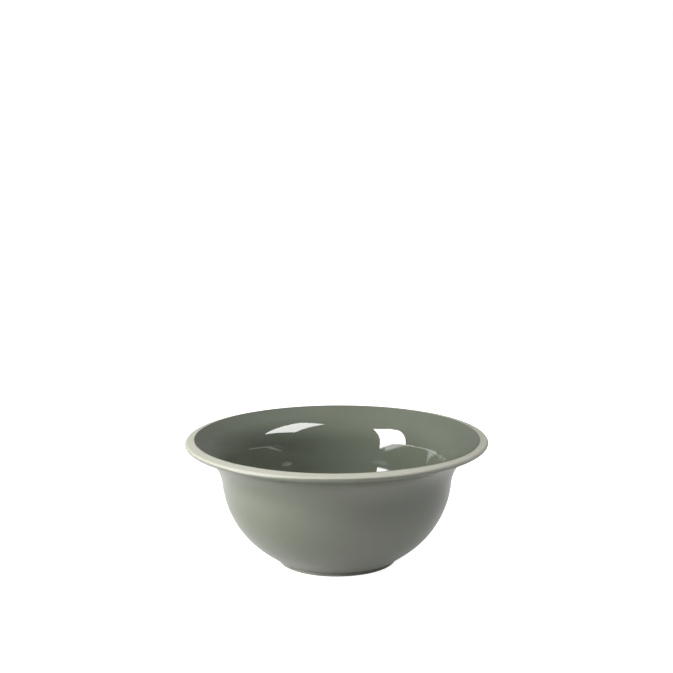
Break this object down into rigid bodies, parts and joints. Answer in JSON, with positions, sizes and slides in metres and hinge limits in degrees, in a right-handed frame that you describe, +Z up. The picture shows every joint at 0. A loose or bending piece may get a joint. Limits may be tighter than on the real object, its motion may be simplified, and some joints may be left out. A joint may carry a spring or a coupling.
{
  "type": "mixing bowl",
  "caption": "Small round stoneware mixing bowl with a flared rim, a bare clay edge, a glossy glazed inside, a satin glazed outside and a low turned foot.",
  "frame": {"origin": "centre of the foot ring's seat, at the bowl's lowest plane", "axes": "+Z up along the bowl's axis of revolution, out of its mouth; X and Y are any two directions across it"},
  "size_m": [0.19, 0.19, 0.0799],
  "materials": {
    "bare_stoneware": "unglazed, dry, finely speckled",
    "gloss_glaze": "glossy sage green-grey glaze",
    "satin_glaze": "satin sage green-grey glaze"
  },
  "bodies": {
    "root": {"stoneware_body": "bare_stoneware", "inside_glaze": "gloss_glaze", "outside_glaze": "satin_glaze", "base_glaze": "satin_glaze"}
  },
  "joints": []
}
